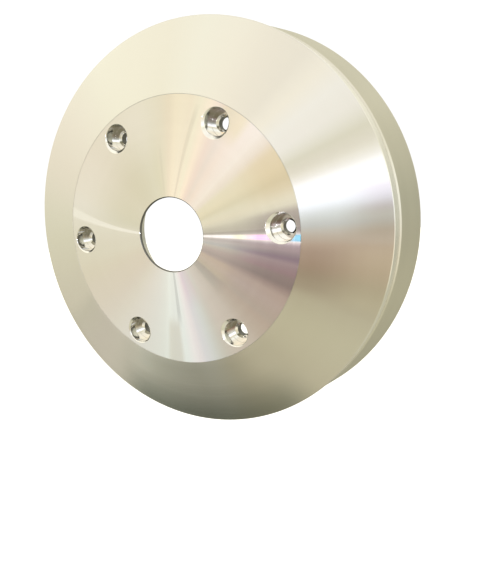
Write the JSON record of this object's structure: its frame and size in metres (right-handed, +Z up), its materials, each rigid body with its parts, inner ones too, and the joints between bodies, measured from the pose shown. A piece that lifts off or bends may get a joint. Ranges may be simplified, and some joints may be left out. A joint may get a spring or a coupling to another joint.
{
  "type": "cup-shaped wheel body",
  "caption": "Turned aluminium cup-shaped wheel body: hub plate with a slightly coned face, open bore and counterbored screw holes, conical flank, separate rim ring, hollow back.",
  "frame": {"origin": "centre of the flange seat, on the wheel's axis in the plane of the hub plate's back face", "axes": "+Y along the wheel's axis towards the open cup; the hub disc faces -Y; +Z up; one screw hole on +X"},
  "size_m": [0.24, 0.0696, 0.24],
  "materials": {
    "faced_aluminium": "bright lathe-faced, fine circular tool marks that fan the light",
    "satin_aluminium": "satin turned",
    "rim_aluminium": "satin turned, a little darker, bright broken front edge"
  },
  "bodies": {
    "root": {"hub_plate": "faced_aluminium", "cone_body": "satin_aluminium", "rim_ring": "rim_aluminium"}
  },
  "joints": []
}
